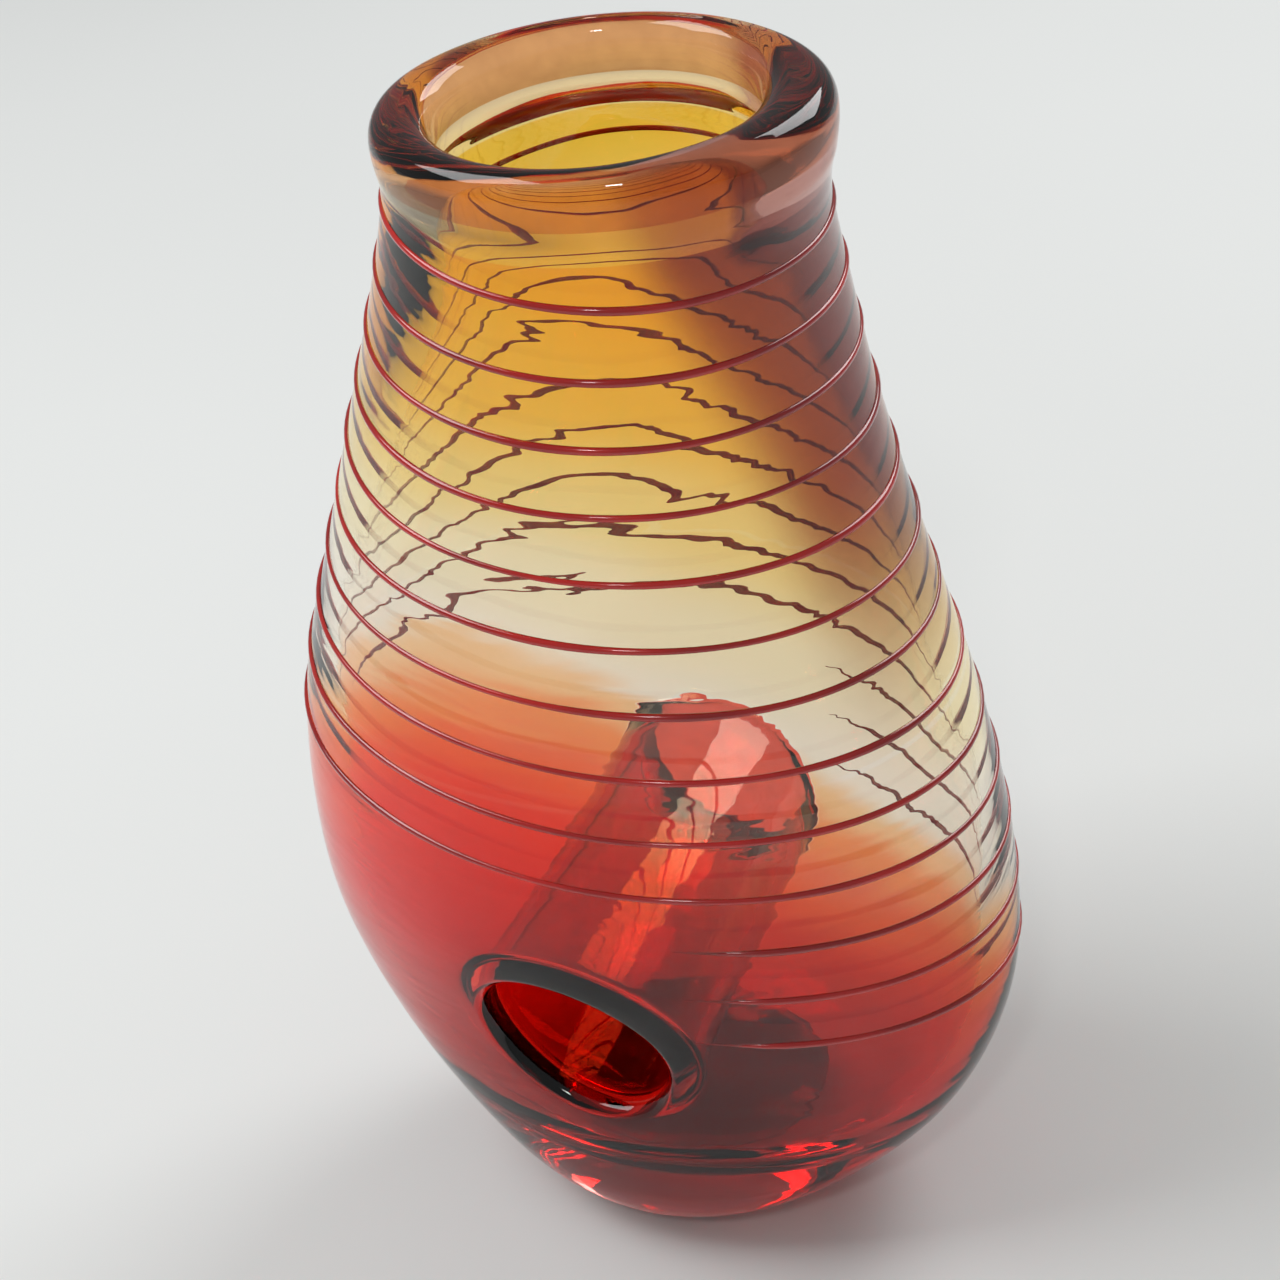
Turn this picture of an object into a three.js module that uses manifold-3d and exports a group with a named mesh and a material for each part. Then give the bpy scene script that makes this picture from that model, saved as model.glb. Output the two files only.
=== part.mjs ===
// A hand blown art glass vase, as the separate glasses that it is built up from.
// Millimetres, +Z up. The origin is the middle of the ground face that the vase stands on.
// The wide front of the vase faces -Y, and the pierced tunnel runs along Y.
import * as THREE from "three";
import { ParametricGeometry } from "three/addons/geometries/ParametricGeometry.js";
import { mergeVertices } from "three/addons/utils/BufferGeometryUtils.js";
import Module from "manifold-3d";

// ---- Driving dimensions ----
const hotJointGap = 0.3; // clearance between glasses that are fused on the real vase
const leastHotJointGap = 0.05; // what is left of it where the wall bends hard
const threadSeatGap = 0.7; // the thread also clears the flats of the faceted casing

// The outline of the oval body. A rise is measured up from the foot. A share is a part of the way
// from the belly to the top of the wall, so the upper body stretches with the vase's height.
// shift and lean are how far the oval's middle lies towards +X and +Y from the foot's middle.
const vaseHeight = 290;
const footPadHeight = 4;
const foot = { halfWidth: 34, halfDepth: 38, shift: 0, lean: 0 };
const heel = { rise: 10, halfWidth: 52.5, halfDepth: 46, shift: 0.5, lean: -2.5 };
const hip = { rise: 32, halfWidth: 72, halfDepth: 50.5, shift: 1, lean: -2.5 };
const belly = { rise: 62, halfWidth: 84.5, halfDepth: 54, shift: -1, lean: -0.5 };
const flank = { share: 0.17, halfWidth: 86.3, halfDepth: 59, shift: -2.7, lean: 0.8 };
const waist = { share: 0.36, halfWidth: 80, halfDepth: 59, shift: -3, lean: 1.5 };
const shoulder = { share: 0.55, halfWidth: 67.7, halfDepth: 55, shift: -2, lean: 3.5 };
const collar = { share: 0.74, halfWidth: 55.5, halfDepth: 51, shift: 1.2, lean: 3.5 };
const neck = { share: 0.91, halfWidth: 46.5, halfDepth: 45.5, shift: 7, lean: -0.5 };
const wallTop = { halfWidth: 45, halfDepth: 38.5, shift: 12, lean: -5.5 };

// Glass thicknesses, from the outside in.
const casingThickness = 3.2;
const overlayThickness = 1.6;
const overlayEdgeThickness = 0.5;
const gatherThickness = 3;
const extraFloorThickness = 6;

// The mouth lip, a rounded bead round the top of the wall.
const lipHeight = 13;
const lipOutwardBulge = 1.5;
const lipInwardBulge = 1.5;

// The pierced tunnel, an oval bore that opens into a trumpet at each wall. Its slant is how far its
// widest point lies above its middle, so it is long from the upper left to the lower right.
const tunnel = {
  x: -5.6,
  rise: 69,
  halfWidth: 21.5,
  halfHeight: 19.6,
  slant: -2.3,
  flare: 3.3,
  wall: 4.5,
};

// The spiral thread: a trail that starts a gap below the lip, part of a turn before the front, and sinks
// by its pitch in each turn. It tilts down towards +X and up towards +Y.
const thread = {
  width: 2,
  thickness: 1.2,
  pitch: 14.9,
  startTurns: 0.6,
  startGap: 0.86,
  sideTilt: -0.077,
  backTilt: 0.048,
};

// How finely the solids are faceted.
const aroundSteps = 30;
const rowsPerStation = 2;
const lipSteps = 12;
const tunnelRows = 10;
const threadSides = 4;

const fullTurn = 2 * Math.PI;

// ---- The outline as one smooth surface ----
const bodyFloor = footPadHeight + hotJointGap;
const wallTopHeight = vaseHeight - lipHeight - hotJointGap;
const fromFoot = (station) => ({ ...station, height: bodyFloor + station.rise });
const bellyHeight = bodyFloor + belly.rise;
const aboveBelly = (station) => ({
  ...station,
  height: THREE.MathUtils.lerp(bellyHeight, wallTopHeight, station.share),
});
const stations = [
  { ...foot, height: bodyFloor },
  fromFoot(heel),
  fromFoot(hip),
  fromFoot(belly),
  aboveBelly(flank),
  aboveBelly(waist),
  aboveBelly(shoulder),
  aboveBelly(collar),
  aboveBelly(neck),
  { ...wallTop, height: wallTopHeight },
];
const lastStation = stations.length - 1;
const curveThrough = (pick) =>
  new THREE.CatmullRomCurve3(
    stations.map((station) => new THREE.Vector3(...pick(station))),
    false,
    "catmullrom",
  );
const sizeCurve = curveThrough((s) => [s.halfWidth, s.halfDepth, s.height]);
const middleCurve = curveThrough((s) => [s.shift, s.lean, s.height]);

// The oval section at a place along the outline: 0 is the foot, lastStation the top of the wall.
function ovalAt(place) {
  const share = THREE.MathUtils.clamp(place / lastStation, 0, 1);
  const size = sizeCurve.getPoint(share);
  const middle = middleCurve.getPoint(share);
  return { halfWidth: size.x, halfDepth: size.y, height: size.z, shift: middle.x, lean: middle.y };
}

function outerPoint(place, angle) {
  const oval = ovalAt(place);
  return new THREE.Vector3(
    oval.shift + oval.halfWidth * Math.cos(angle),
    oval.lean + oval.halfDepth * Math.sin(angle),
    oval.height,
  );
}

// The outward normal, from the two directions along the surface.
function outwardNormal(place, angle) {
  const step = 0.02;
  const around = outerPoint(place, angle + step).sub(outerPoint(place, angle - step));
  const upwards = outerPoint(place + step, angle).sub(outerPoint(place - step, angle));
  const normal = around.cross(upwards);
  if (place === lastStation) normal.z = 0; // the top of the wall is cut level
  return normal.normalize();
}

// A point that lies a depth inside the outer surface.
function pointInWall(place, angle, depth) {
  return outerPoint(place, angle).addScaledVector(outwardNormal(place, angle), -depth);
}

// Places along the outline, the same for every glass so that neighbours' facets stay parallel.
function places(from, to) {
  const count = Math.round((to - from) * rowsPerStation);
  return Array.from({ length: count + 1 }, (_, row) => from + row / rowsPerStation);
}

// ---- Closed solids from a walk round their section ----
// Each step of a walk gives a point for an angle, and the walk turns about the vase once.
function turned(walk) {
  return new ParametricGeometry(
    (aroundShare, walkShare, target) => {
      const turn = Math.round(aroundShare * aroundSteps) % aroundSteps;
      const step = walk[Math.round(walkShare * (walk.length - 1))];
      target.copy(step((turn / aroundSteps) * fullTurn));
    },
    aroundSteps,
    walk.length - 1,
  );
}

const wallStep = (place, depthAt) => (angle) => pointInWall(place, angle, depthAt(place));
const axisStep = (place, depth) => () => {
  const oval = ovalAt(place);
  return new THREE.Vector3(oval.shift, oval.lean, oval.height + depth);
};

// A cup of glass: closed at the bottom, open at the top.
function cup(top, outerDepth, innerDepth) {
  const rows = places(0, top);
  return turned([
    axisStep(0, outerDepth(0)),
    ...rows.map((place) => wallStep(place, outerDepth)),
    ...rows.toReversed().map((place) => wallStep(place, innerDepth)),
    axisStep(0, innerDepth(0)),
  ]);
}

// A sleeve of glass: open at both ends.
function sleeve(bottom, outerDepth, innerDepth) {
  const rows = places(bottom, lastStation);
  return turned([
    ...rows.map((place) => wallStep(place, outerDepth)),
    ...rows.toReversed().map((place) => wallStep(place, innerDepth)),
    wallStep(bottom, outerDepth),
  ]);
}

// ---- Solids for cutting ----
const wasm = await Module();
wasm.setup();

function toSolid(geometry) {
  const bare = geometry.clone();
  bare.deleteAttribute("normal");
  bare.deleteAttribute("uv");
  const merged = mergeVertices(bare, 1e-3);
  return new wasm.Manifold(
    new wasm.Mesh({
      numProp: 3,
      vertProperties: merged.attributes.position.array,
      triVerts: new Uint32Array(merged.index.array),
    }),
  );
}

function toGeometry(solid) {
  const { vertProperties, triVerts } = solid.getMesh();
  const geometry = new THREE.BufferGeometry();
  geometry.setAttribute("position", new THREE.BufferAttribute(vertProperties, 3));
  geometry.setIndex(new THREE.BufferAttribute(triVerts, 1));
  geometry.computeVertexNormals();
  return geometry;
}

// ---- Depths of the glasses in the wall ----
const rubyTop = 4.5; // places along the outline where the two colours thin out
const amberBottom = 5.5;
const fadeLength = 2;
const thinning = (distance) =>
  THREE.MathUtils.lerp(overlayEdgeThickness, overlayThickness, Math.min(distance / fadeLength, 1));
const rubyThickness = (place) => thinning(rubyTop - place);
const amberThickness = (place) => thinning(place - amberBottom);
const colourDepth = casingThickness + hotJointGap;

function colourThickness(place) {
  if (place <= rubyTop) return rubyThickness(place);
  if (place >= amberBottom) return amberThickness(place);
  return 0;
}

const gatherOuterDepth = (place) => colourDepth + colourThickness(place) + hotJointGap;
const extraFloor = (place) => extraFloorThickness * Math.max(1 - place / 2, 0);
const gatherInnerDepth = (place) => gatherOuterDepth(place) + gatherThickness + extraFloor(place);

// ---- The tunnel ----
const tunnelHeight = bodyFloor + tunnel.rise;

// The place on the outline that lies at a height, by halving.
function placeAtHeight(height) {
  let low = 0;
  let high = lastStation;
  for (let halving = 0; halving < 30; halving += 1) {
    const middle = (low + high) / 2;
    if (ovalAt(middle).height < height) low = middle;
    else high = middle;
  }
  return low;
}
const tunnelOval = ovalAt(placeAtHeight(tunnelHeight));
const tunnelReach = tunnelOval.halfDepth; // from the body's middle to either wall

// The bore made wider all round by a margin, running past both walls.
function tunnelBore(margin) {
  const overrun = 1.12;
  const flareSharpness = 6;
  const rows = tunnelRows + 2;
  return new ParametricGeometry(
    (aroundShare, alongShare, target) => {
      const turn = Math.round(aroundShare * aroundSteps) % aroundSteps;
      const angle = (turn / aroundSteps) * fullTurn;
      const row = Math.round(alongShare * rows);
      const along = THREE.MathUtils.clamp(((row - 1) / tunnelRows) * 2 - 1, -1, 1) * overrun;
      const isEnd = row === 0 || row === rows;
      const flared = margin + tunnel.flare * Math.abs(along) ** flareSharpness;
      const across = isEnd ? 0 : Math.cos(angle);
      const upwards = isEnd ? 0 : -Math.sin(angle);
      target.set(
        tunnel.x + (tunnel.halfWidth + flared) * across + tunnel.slant * upwards,
        tunnelOval.lean + along * tunnelReach,
        tunnelHeight + (tunnel.halfHeight + flared) * upwards + tunnel.slant * across,
      );
    },
    aroundSteps,
    rows,
  );
}
const boreSolid = toSolid(tunnelBore(0));
const liningSolid = toSolid(tunnelBore(tunnel.wall));
const liningRoom = toSolid(tunnelBore(tunnel.wall + hotJointGap));
const bodySolid = toSolid(
  turned([
    axisStep(0, 0),
    ...places(0, lastStation).map((place) => wallStep(place, () => 0)),
    axisStep(lastStation, 0),
  ]),
);
const pierced = (geometry) => toGeometry(toSolid(geometry).subtract(liningRoom));

// Everything inside a depth, less a gap. It keeps a glass clear of the next one where the wall bends hard.
function roomInside(depthAt) {
  const gapStep = (place) => wallStep(place, () => depthAt(place) - leastHotJointGap);
  return toSolid(
    turned([
      axisStep(0, depthAt(0) - leastHotJointGap),
      ...places(0, lastStation).map(gapStep),
      axisStep(lastStation, 0),
    ]),
  );
}
const gatherRoom = roomInside(gatherOuterDepth);
const colourRoom = roomInside(() => colourDepth);
const bodyRoom = roomInside(() => 0);
const clearOf = (room, geometry) => toGeometry(toSolid(geometry).subtract(room));

// ---- The glasses ----
const clearCasing = clearOf(colourRoom, pierced(cup(lastStation, () => 0, () => casingThickness)));
const rubyOverlay = clearOf(
  gatherRoom,
  pierced(cup(rubyTop, () => colourDepth, (place) => colourDepth + rubyThickness(place))),
);
const amberOverlay = clearOf(
  gatherRoom,
  sleeve(amberBottom, () => colourDepth, (place) => colourDepth + amberThickness(place)),
);
const innerGather = pierced(cup(lastStation, gatherOuterDepth, gatherInnerDepth));
const tunnelLining = toGeometry(liningSolid.intersect(bodySolid).subtract(boreSolid));

// The lip's section is a rounded oblong that stands on the top of the wall.
function mouthLip() {
  const outer = -lipOutwardBulge;
  const inner = gatherInnerDepth(lastStation) + lipInwardBulge;
  const roundness = 0.75;
  const rounded = (value) => Math.sign(value) * Math.abs(value) ** roundness;
  const steps = Array.from({ length: lipSteps + 1 }, (_, step) => {
    const turn = ((step % lipSteps) / lipSteps) * fullTurn;
    const depth = (outer + inner) / 2 - (rounded(Math.cos(turn)) * (inner - outer)) / 2;
    const rise = hotJointGap + (lipHeight * (1 + rounded(Math.sin(turn)))) / 2;
    return (angle) => {
      const oval = ovalAt(lastStation);
      return new THREE.Vector3(
        oval.shift + (oval.halfWidth - depth) * Math.cos(angle),
        oval.lean + (oval.halfDepth - depth) * Math.sin(angle),
        oval.height + rise,
      );
    };
  });
  return turned(steps);
}

// The foot pad is a low oval disc with a ground face and a softened lower edge.
function footPad() {
  const edgeSoftening = 1.5;
  const disc = (shrink, height) => (angle) =>
    new THREE.Vector3(
      (foot.halfWidth - shrink) * Math.cos(angle),
      (foot.halfDepth - shrink) * Math.sin(angle),
      height,
    );
  return turned([
    () => new THREE.Vector3(0, 0, 0),
    disc(edgeSoftening, 0),
    disc(0, edgeSoftening),
    disc(0, footPadHeight),
    () => new THREE.Vector3(0, 0, footPadHeight),
  ]);
}

// The thread's height at an angle, which grows past a full turn as the trail goes down.
// The angle is measured from +X in the sense of +Y, so the front is at a quarter turn back.
const frontAngle = -fullTurn / 4;
const frontDrop = lipHeight + thread.startGap + thread.startTurns * thread.pitch;
function threadHeight(angle) {
  const turnsDown = (angle - frontAngle) / fullTurn;
  const levelHeight = vaseHeight - frontDrop - thread.pitch * turnsDown;
  const oval = ovalAt(placeAtHeight(levelHeight));
  const across = oval.halfWidth * Math.cos(angle);
  const back = oval.halfDepth * Math.sin(angle);
  return levelHeight + thread.sideTilt * across + thread.backTilt * back;
}

// A trail of thread between two angles, thinned to a point at each end.
function threadTrail(startAngle, endAngle) {
  const stepAngle = fullTurn / aroundSteps;
  const firstStep = Math.round(startAngle / stepAngle);
  const steps = Math.round(endAngle / stepAngle) - firstStep;
  return new ParametricGeometry(
    (aroundShare, alongShare, target) => {
      const step = Math.round(alongShare * steps);
      const angle = (firstStep + step) * stepAngle;
      const corner = Math.round(aroundShare * threadSides) % threadSides;
      const sectionAngle = ((corner + 0.5) / threadSides) * fullTurn;
      const fullness = step === 0 || step === steps ? 0 : Math.SQRT1_2;
      const inwards = fullness * thread.thickness * Math.cos(sectionAngle);
      const upwards = fullness * thread.width * Math.sin(sectionAngle);
      const seat = threadSeatGap + thread.thickness / 2;
      target.copy(pointInWall(placeAtHeight(threadHeight(angle)), angle, inwards - seat));
      target.z += upwards;
    },
    threadSides,
    steps,
  );
}

// ---- The group of named glasses ----
const vase = new THREE.Group();

function addGlass(name, geometry, colour, roughness) {
  const material = new THREE.MeshStandardMaterial({ color: colour, roughness, metalness: 0 });
  const mesh = new THREE.Mesh(geometry, material);
  mesh.name = name;
  vase.add(mesh);
}

addGlass("inner_gather", innerGather, 0xe9dfc8, 0.05);
addGlass("amber_overlay", amberOverlay, 0xd9a23c, 0.05);
addGlass("ruby_overlay", rubyOverlay, 0xc8281e, 0.05);
addGlass("clear_casing", clearCasing, 0xf0e8dc, 0.05);
addGlass("tunnel_lining", tunnelLining, 0x8c1014, 0.05);
addGlass("mouth_lip", mouthLip(), 0x9c5a48, 0.04);
addGlass("foot_pad", footPad(), 0x7a1c18, 0.25);

// Above the tunnel the thread is one trail, from under the lip at the back to the -X end.
const startAngle = frontAngle - thread.startTurns * fullTurn;
const tunnelClearance = tunnel.flare + tunnel.wall + thread.width;
const tunnelTop = tunnelHeight + tunnel.halfHeight + tunnelClearance;
const turnsAboveTunnel = (vaseHeight - frontDrop - tunnelTop) / thread.pitch;
const lastTurn = Math.floor(turnsAboveTunnel);
const lastAngle = frontAngle + fullTurn * (lastTurn - 0.25);
const mainTrail = clearOf(bodyRoom, threadTrail(startAngle, lastAngle));
addGlass("spiral_thread", mainTrail, 0x8a0f12, 0.1);

// The tunnel cuts the lower turns, and each leaves one trail round the +X end of the body.
const trailsBesideTunnel = 3;
const tunnelEdge = tunnel.x + tunnel.halfWidth + tunnelClearance;
const edgeAngle = Math.acos((tunnelEdge - tunnelOval.shift) / tunnelOval.halfWidth);
for (let trail = 0; trail < trailsBesideTunnel; trail += 1) {
  const turnAngle = fullTurn * (lastTurn + trail);
  const shortTrail = clearOf(bodyRoom, threadTrail(turnAngle - edgeAngle, turnAngle + edgeAngle));
  addGlass(`thread_end_${trail + 1}`, shortTrail, 0x8a0f12, 0.1);
}

export default vase;
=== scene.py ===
# %% [markdown]
# # A hand blown, pierced and threaded glass vase
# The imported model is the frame: it fixes where everything is and how big it is. This lesson dresses it
# in glass. Real cased glass is one continuous body with colours sealed inside it, so the clear wall is
# made here as a single smooth closed surface, and each colour is a thin body of its own inside the wall.

# %% Load the frame
import math

import bpy
import numpy as np
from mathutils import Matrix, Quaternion, Vector


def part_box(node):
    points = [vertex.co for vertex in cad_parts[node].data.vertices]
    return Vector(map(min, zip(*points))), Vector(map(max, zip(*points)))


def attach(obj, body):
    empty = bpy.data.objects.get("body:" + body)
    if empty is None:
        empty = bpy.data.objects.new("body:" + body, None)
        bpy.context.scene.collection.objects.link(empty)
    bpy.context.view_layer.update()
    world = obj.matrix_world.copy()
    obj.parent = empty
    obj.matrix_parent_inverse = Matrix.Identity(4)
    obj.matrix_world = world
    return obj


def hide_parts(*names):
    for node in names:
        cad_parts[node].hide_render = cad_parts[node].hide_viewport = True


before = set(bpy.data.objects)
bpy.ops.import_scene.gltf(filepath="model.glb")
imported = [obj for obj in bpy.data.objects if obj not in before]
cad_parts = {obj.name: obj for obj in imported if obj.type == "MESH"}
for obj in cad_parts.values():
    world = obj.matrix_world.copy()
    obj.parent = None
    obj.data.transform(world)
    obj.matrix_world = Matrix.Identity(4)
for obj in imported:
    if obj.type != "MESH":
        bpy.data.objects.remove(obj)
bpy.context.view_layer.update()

# %% [markdown]
# The outline of the vase is a stack of ovals. Each station says how high an oval lies, how wide and deep
# it is, and how far its middle has wandered from the foot's middle, because a blown form is never quite
# upright. A smooth curve through the stations gives every oval in between. The curve could be drawn by
# hand in the viewport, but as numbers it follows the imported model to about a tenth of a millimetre.

# %% The outline
mm = 0.001
lip_low, lip_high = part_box("mouth_lip")
pad_low, pad_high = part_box("foot_pad")
lining_low, lining_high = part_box("tunnel_lining")
casing_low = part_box("clear_casing")[0]

body_floor = casing_low.z
vase_top = lip_high.z
# height, half width, half depth, shift towards +X, lean towards +Y
stations = mm * np.array(
    [
        [0, 34, 38, 0, 0],
        [10, 52.5, 46, 0.5, -2.5],
        [32, 72, 50.5, 1, -2.5],
        [62, 84.5, 54, -1, -0.5],
        [97.8, 86.3, 59, -2.7, 0.8],
        [137.7, 80, 59, -3, 1.5],
        [177.7, 67.7, 55, -2, 3.5],
        [217.7, 55.5, 51, 1.2, 3.5],
        [253.5, 46.5, 45.5, 7, -0.5],
        [272.4, 45, 38.5, 12, -5.5],
    ]
)
stations[:, 0] += body_floor


def through_stations(steps):
    """Ovals along the outline: between two stations, half of (twice the first, plus the slope times t,
    plus the second and third order terms of the uniform Catmull-Rom rule), with the ends extended
    straight."""
    place = np.linspace(0, len(stations) - 1, steps)
    first = np.minimum(place.astype(int), len(stations) - 2)
    t = (place - first)[:, None]
    ends = np.vstack([2 * stations[0] - stations[1], stations, 2 * stations[-1] - stations[-2]])
    before, start, stop, after = (ends[first + k] for k in range(4))
    return 0.5 * (
        2 * start
        + (stop - before) * t
        + (2 * before - 5 * start + 4 * stop - after) * t**2
        + (3 * start - before - 3 * stop + after) * t**3
    )


outline = through_stations(1801)
print("outline from", outline[0, 0], "to", outline[-1, 0], "m")

# %% [markdown]
# The inside of the wall follows the outside at the thickness of the glass. On the real vase that
# thickness comes from gathering and blowing, so it is heavy in the floor, and heavier at the two sides of
# the lip, where the round mouth was squeezed oval. The offset is taken square to the outline at its four
# extreme points, and the oval through those four is the inner oval.

# %% The wall's offset
def offset_outline(side_depth, face_depth):
    """Ovals that lie a depth inside the outline: each of the four extreme points moves by the depth
    along its own normal, and is then read again at the same heights. The sides and the front and rear
    faces have depths of their own."""
    height, half_width, half_depth, shift, lean = outline.T
    sampled = np.linspace(height[0], height[-1], 900)
    rise = np.gradient(height)
    extremes = []
    sides = ((shift + half_width, side_depth), (shift - half_width, side_depth))
    faces = ((lean + half_depth, face_depth), (lean - half_depth, face_depth))
    for side, depth in sides + faces:
        run = np.gradient(side)
        length = np.hypot(run, rise)
        outward = 1.0 if side.mean() > 0 else -1.0
        moved = side - outward * depth * rise / length
        at_height = height + outward * depth * run / length
        order = np.argsort(at_height)
        extremes.append(np.interp(sampled, at_height[order], moved[order]))
    right, left, back, front = extremes
    return np.stack(
        [sampled, (right - left) / 2, (back - front) / 2, (right + left) / 2, (back + front) / 2], 1
    )


wall_thickness = 8.0 * mm
lip_thickness = (11.0 * mm, 6.4 * mm)
to_the_lip = np.clip((outline[:, 0] / vase_top - 0.66) / 0.28, 0, 1) ** 1.5
inner_outline = offset_outline(
    wall_thickness + (lip_thickness[0] - wall_thickness) * to_the_lip,
    wall_thickness + (lip_thickness[1] - wall_thickness) * to_the_lip,
)
print("inner half width at the top", inner_outline[-1, 1])

# %% [markdown]
# Hand work shows as slow waves in the wall. They are what makes the light swim in blown glass, so they
# belong in the shape and not only in the material. A few sine waves of different turns and pitches are
# enough, half a millimetre high.

# %% The waves of hand blowing
def hand_waves(angle, height, strength, seed):
    """A sum of sines over the angle and the height, each with its own number of turns, pitch and start."""
    dice = np.random.default_rng(seed)
    total = np.zeros(np.broadcast(angle, height).shape)
    for turns, pitch in ((1, 0.31), (2, 0.17), (3, 0.11), (4, 0.083), (5, 0.061), (7, 0.047)):
        start = dice.uniform(0, 2 * math.pi)
        tall = dice.choice([-1, 1]) * 2 * math.pi * height / pitch
        total = total + np.sin(turns * angle + tall + start) / (1 + turns)
    return strength * total


# %% [markdown]
# The wall is a grid: one direction goes round, the other from the middle of the floor up to the lip. To
# pierce it, a square block of cells is left out at the front and at the rear, and the corners around the
# block are pulled onto an oval. That keeps clean flowing quads round the hole, where a boolean cut would
# leave slivers that show up as scratches in glass.

# %% A wall surface with room for the tunnel
around = 224
tunnel_x = (lining_low.x + lining_high.x) / 2
tunnel_z = (lining_low.z + lining_high.z) / 2
bore_half_width = 21.5 * mm
bore_half_height = 19.6 * mm
bore_slant = -2.3 * mm
block = 12


def smooth(value):
    """The share from 0 to 1, eased at both ends: 3 t squared minus 2 t cubed."""
    t = np.clip(value, 0, 1)
    return t * t * (3 - 2 * t)


def on_wall(outline_table, angle, height, waves):
    """The point of an oval at an angle: its middle plus half width times the cosine and half depth times
    the sine, moved outwards by the hand waves."""
    read = [np.interp(height, outline_table[:, 0], outline_table[:, k]) for k in range(1, 5)]
    half_width, half_depth, shift, lean = read
    wave = hand_waves(angle, height, *waves)
    x = shift + (half_width + wave) * np.cos(angle)
    y = lean + (half_depth + wave) * np.sin(angle)
    return np.stack(np.broadcast_arrays(x, y, height), -1)


def angle_of(outline_table, x, height, facing):
    """The angle at which the wall has a given x: the arc cosine of x less the middle, over the half
    width. It is negative on the front and positive on the rear."""
    half_width = np.interp(height, outline_table[:, 0], outline_table[:, 1])
    shift = np.interp(height, outline_table[:, 0], outline_table[:, 3])
    return facing * np.arccos(np.clip((x - shift) / half_width, -1, 1))


def pierced_grid(rows, outline_table, hole, reach, waves):
    """Points of a wall grid with both tunnel mouths opened. rows holds the ovals of the grid. Returns
    the points, which cells stay, and the index ring round each mouth, both rings in the same turn."""
    count = len(rows)
    turn = np.linspace(-math.pi, math.pi, around, endpoint=False)
    angle = np.broadcast_to(turn, (count, around)).copy()
    height, half_width, half_depth, shift, lean = (rows[:, k][:, None] for k in range(5))
    x = shift + half_width * np.cos(angle)
    y = lean + half_depth * np.sin(angle)
    fading = np.minimum(half_width / half_width.max() * 2, 1)
    wave = hand_waves(angle, height, *waves) * fading
    points = np.stack(
        np.broadcast_arrays(x + wave * np.cos(angle), y + wave * np.sin(angle), height), -1
    ).copy()
    stays = np.ones((count - 1, around), bool)
    rings = []
    if hole is None:
        return points, stays, rings
    walled = rows[:, 1] > 0.5 * rows[:, 1].max()
    middle_row = np.argmin(np.where(walled, abs(rows[:, 0] - tunnel_z), 1))
    for facing in (-1, 1):
        middle_angle = angle_of(outline_table, tunnel_x, tunnel_z, facing)
        middle_turn = np.argmin(abs(turn - middle_angle))
        u = (np.arange(around)[None, :] - middle_turn) / block * -facing
        v = (np.arange(count)[:, None] - middle_row) / block
        u, v = np.broadcast_arrays(u, v)
        square = np.maximum(abs(u), abs(v))
        circle = np.maximum(np.hypot(u, v), 1e-9)
        share = (square - 1) / (reach - 1)
        step_x = abs(x[middle_row, middle_turn + 1] - x[middle_row, middle_turn])
        step_z = abs(rows[middle_row + 1, 0] - rows[middle_row, 0])
        far_x, far_z = reach * block * step_x, reach * block * step_z
        ring_x = hole[0] + share * (far_x - hole[0])
        ring_z = hole[1] + share * (far_z - hole[1])
        blend = smooth(share)
        ring_x, ring_z = ring_x * u + bore_slant * v, ring_z * v + bore_slant * u
        new_x = (1 - blend) * (tunnel_x + ring_x / circle) + blend * x
        new_z = (1 - blend) * (tunnel_z + ring_z / circle) + blend * height
        near = (square < reach) & (square > 0.99)
        new_angle = angle_of(outline_table, new_x, new_z, facing)
        moved = on_wall(outline_table, new_angle, new_z, waves)
        points = np.where(near[..., None], moved, points)
        low, high = middle_row - block, middle_row + block
        left, right = middle_turn - block, middle_turn + block
        stays[low:high, left:right] = False
        side = np.arange(2 * block)
        walk_rows = np.concatenate([0 * side + low, low + side, 0 * side + high, high - side])
        walk_turns = np.concatenate([left + side, 0 * side + right, right - side, 0 * side + left])
        ring = walk_rows * around + walk_turns
        if facing > 0:
            mirrored = left + right - walk_turns
            ring = walk_rows * around + mirrored
        rings.append(ring)
    return points, stays, rings


def ring_directions():
    """The cosine and sine of the way from the tunnel's axis to each corner of a mouth's ring."""
    side = np.arange(2 * block) / block - 1
    one = np.ones(2 * block)
    u = np.concatenate([side, one, -side, -one])
    v = np.concatenate([-one, side, one, -side])
    length = np.hypot(u, v)
    return u / length, v / length


ring_cos, ring_sin = ring_directions()

# %% [markdown]
# The tunnel leaves the wall in a soft trumpet, because the maker opened it with a hot tool. So the bore
# starts tangent to the wall at its mouth, turns through a quarter of an oval, and runs straight to the
# trumpet on the other side.

# %% The bore
bend_steps = 9
straight_steps = 10


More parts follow.
